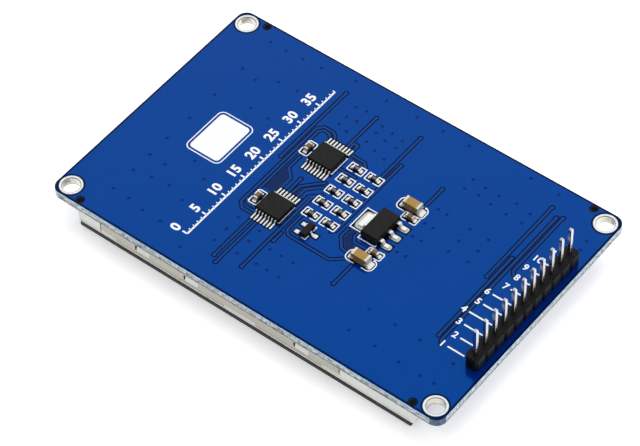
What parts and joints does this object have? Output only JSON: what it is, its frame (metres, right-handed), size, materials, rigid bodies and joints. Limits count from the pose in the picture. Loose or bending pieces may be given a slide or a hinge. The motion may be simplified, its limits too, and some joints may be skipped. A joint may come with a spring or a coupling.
{
  "type": "tft display module",
  "caption": "Small colour TFT touch display on a blue carrier board with corner mounting holes and a straight pin header on its back.",
  "frame": {"origin": "middle of the footprint on the outer face of the touch film, which the module lies on", "axes": "+X along the board towards the pin header, +Y across the board, +Z from the display face to the back of the board and the pins"},
  "size_m": [0.08, 0.051, 0.0147],
  "materials": {
    "board_laminate": "glass-epoxy board under glossy blue solder resist",
    "header_plastic": "moulded black, slightly grainy",
    "pin_plating": "tin plated, satin",
    "solder": "bright soft solder",
    "chip_epoxy": "moulded black epoxy, fine matt grain",
    "lead_plating": "tin plated copper, satin",
    "capacitor_ceramic": "fired tan ceramic",
    "terminal_tin": "matt tin",
    "resistor_glaze": "black glass glaze on white ceramic",
    "mounting_tape": "double-sided tape",
    "tray_steel": "thin rolled steel",
    "frame_plastic": "moulded warm white",
    "reflector_film": "white reflecting film",
    "light_guide_acrylic": "clear moulded acrylic",
    "diffuser_film": "milky film",
    "prism_film": "clear ribbed film",
    "led_package": "white package with pale yellow phosphor",
    "polyimide_flex": "amber flexible circuit",
    "shield_tape": "thin black tape",
    "polarizer_film": "dark polarizing film",
    "display_glass": "thin clear glass",
    "silicon": "polished bare silicon",
    "gasket_foam": "black foam tape",
    "touch_glass": "clear glass with dark edges",
    "spacer_adhesive": "black printed adhesive border",
    "touch_film": "satin hard-coated film"
  },
  "bodies": {
    "root": {"circuit_board": "board_laminate", "pin_header_body": "header_plastic", "pin_header_pins": "pin_plating", "header_solder_joints": "solder", "touch_controller_body": "chip_epoxy", "touch_controller_leads": "lead_plating", "level_shifter_body": "chip_epoxy", "level_shifter_leads": "lead_plating", "voltage_regulator_body": "chip_epoxy", "voltage_regulator_leads": "lead_plating", "backlight_transistor_body": "chip_epoxy", "backlight_transistor_leads": "lead_plating", "bulk_capacitor_bodies": "capacitor_ceramic", "bulk_capacitor_terminals": "terminal_tin", "bypass_capacitor_bodies": "capacitor_ceramic", "bypass_capacitor_terminals": "terminal_tin", "chip_resistor_bodies": "resistor_glaze", "chip_resistor_terminals": "terminal_tin", "panel_tape": "mounting_tape", "backlight_tray": "tray_steel", "panel_frame": "frame_plastic", "reflector_sheet": "reflector_film", "light_guide": "light_guide_acrylic", "diffuser_sheet": "diffuser_film", "lower_prism_sheet": "prism_film", "upper_prism_sheet": "prism_film", "backlight_leds": "led_package", "backlight_flex": "polyimide_flex", "light_shield_tape": "shield_tape", "rear_polarizer": "polarizer_film", "tft_glass": "display_glass", "colour_filter_glass": "display_glass", "front_polarizer": "polarizer_film", "display_driver_chip": "silicon", "display_flex": "polyimide_flex", "touch_gasket": "gasket_foam", "touch_glass": "touch_glass", "touch_spacer_frame": "spacer_adhesive", "touch_film": "touch_film", "touch_flex": "polyimide_flex"}
  },
  "joints": []
}
